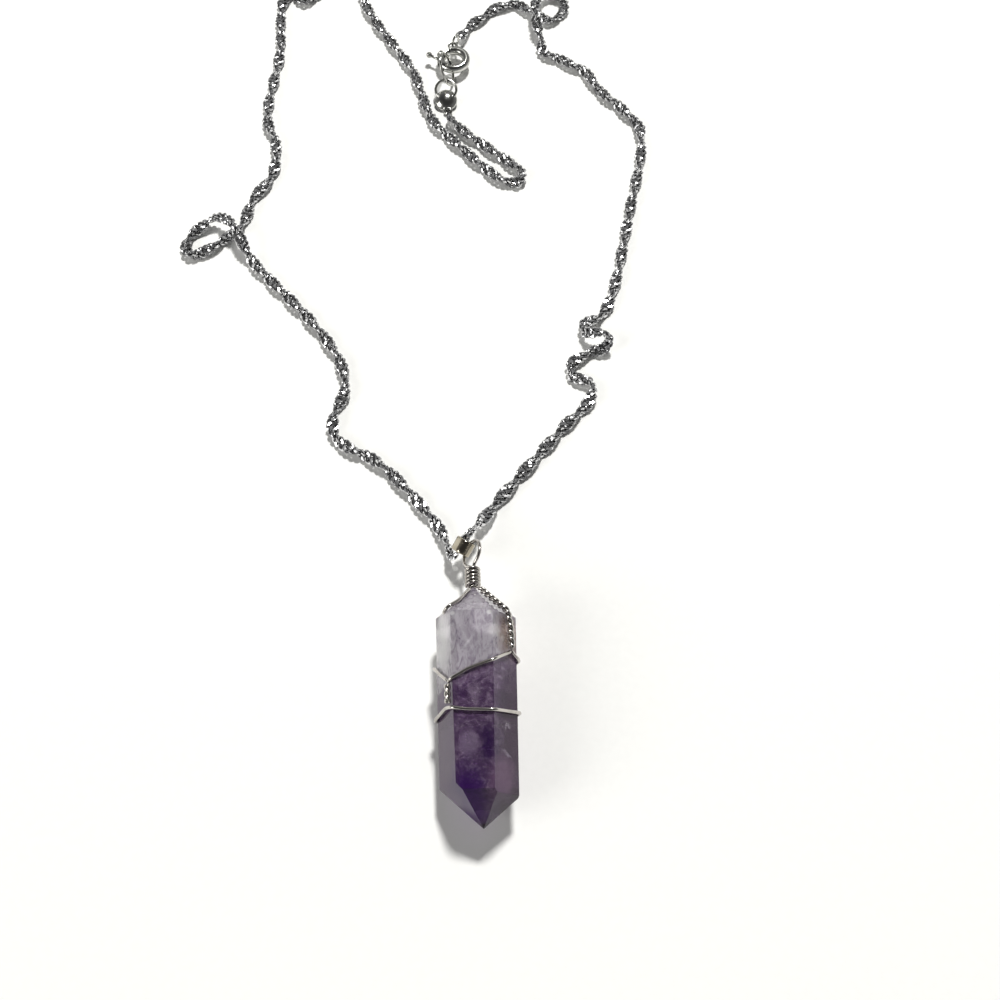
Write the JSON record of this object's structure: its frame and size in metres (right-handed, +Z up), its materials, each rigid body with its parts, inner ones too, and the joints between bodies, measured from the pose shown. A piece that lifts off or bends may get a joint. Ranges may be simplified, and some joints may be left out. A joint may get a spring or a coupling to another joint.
{
  "type": "crystal point pendant on a chain",
  "caption": "Faceted double-ended crystal point in a silver wire wrap with eye and bail, on a twisted chain with a spring-ring clasp, laid flat.",
  "frame": {"origin": "centre of the bounding box at the surface that the necklace lies on", "axes": "+Y along the length of the laid necklace from the point to the clasp's end, +X to the right of the picture, +Z up"},
  "size_m": [0.08, 0.1664, 0.0116],
  "materials": {
    "crystal": "polished quartz, nearly clear with grey and lavender veils at the top and purple below",
    "wire": "bright drawn silver wire, slightly warm",
    "bail": "bright rolled silver band, slightly warm",
    "chain": "bright silver links with cut flats",
    "clasp": "polished silver"
  },
  "bodies": {
    "root": {"crystal": "crystal", "wire_eye": "wire", "neck_coil": "wire", "right_twist": "wire", "left_strand": "wire", "upper_band_front": "wire", "upper_band_left": "wire", "upper_band_back": "wire", "side_twist": "wire", "back_twist": "wire", "lower_band": "wire", "bail": "bail", "chain": "chain", "clasp_body": "clasp", "clasp_link": "clasp", "connector_ring": "clasp", "end_ring": "clasp"},
    "clasp_lever": {"clasp_lever": "clasp"}
  },
  "joints": [
    {"name": "clasp_lever_turn", "type": "hinge", "parent": "root", "child": "clasp_lever", "pos_m": [0.0055, 0.054, 0.00174], "axis": [0, 0, 1], "range_deg": [0, 45], "stiffness_Nm_per_rad": 0.002, "springref_deg": -20.05}
  ]
}
